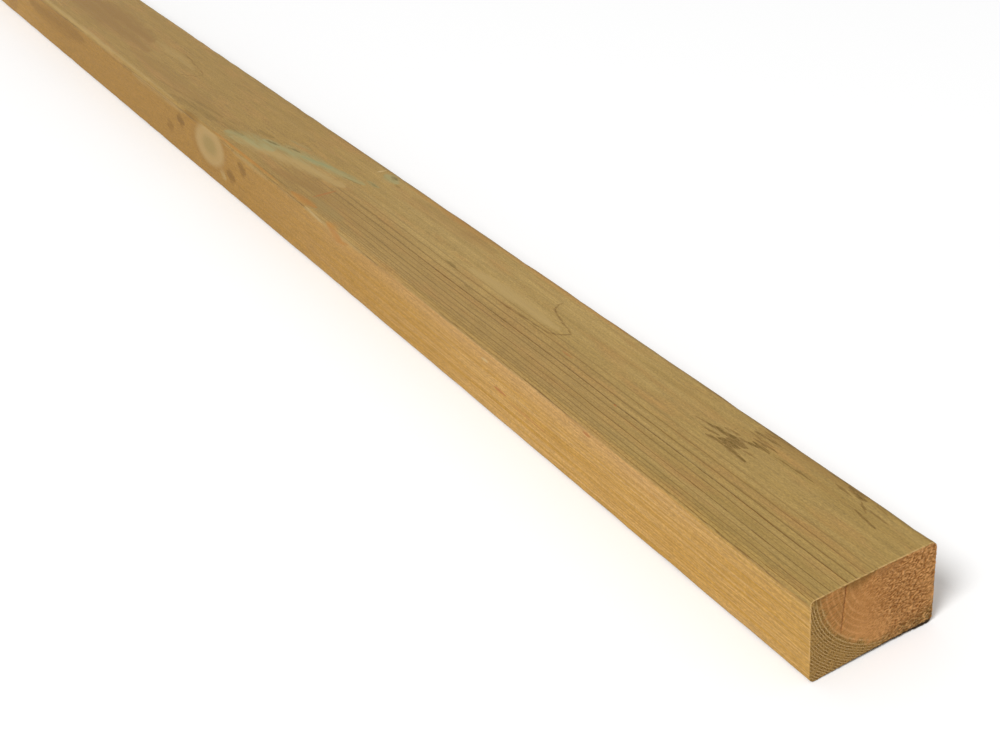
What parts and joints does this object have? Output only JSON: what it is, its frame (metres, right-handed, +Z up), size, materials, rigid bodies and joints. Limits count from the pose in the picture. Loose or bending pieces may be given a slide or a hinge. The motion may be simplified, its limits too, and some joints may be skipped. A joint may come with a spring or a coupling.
{
  "type": "wooden batten",
  "caption": "Straight planed softwood batten of rectangular section with rounded long arrises and square sawn ends, for framing and cladding.",
  "frame": {"origin": "centre of the lower wide face, which the batten lies on", "axes": "+X along the grain towards the sawn end that the picture shows, +Y across the wide face away from the camera, +Z up through the thickness"},
  "size_m": [2.4, 0.07, 0.045],
  "materials": {
    "treated_softwood": "planed, matt, pressure treated to a pale olive brown"
  },
  "bodies": {
    "root": {"batten": "treated_softwood"}
  },
  "joints": []
}
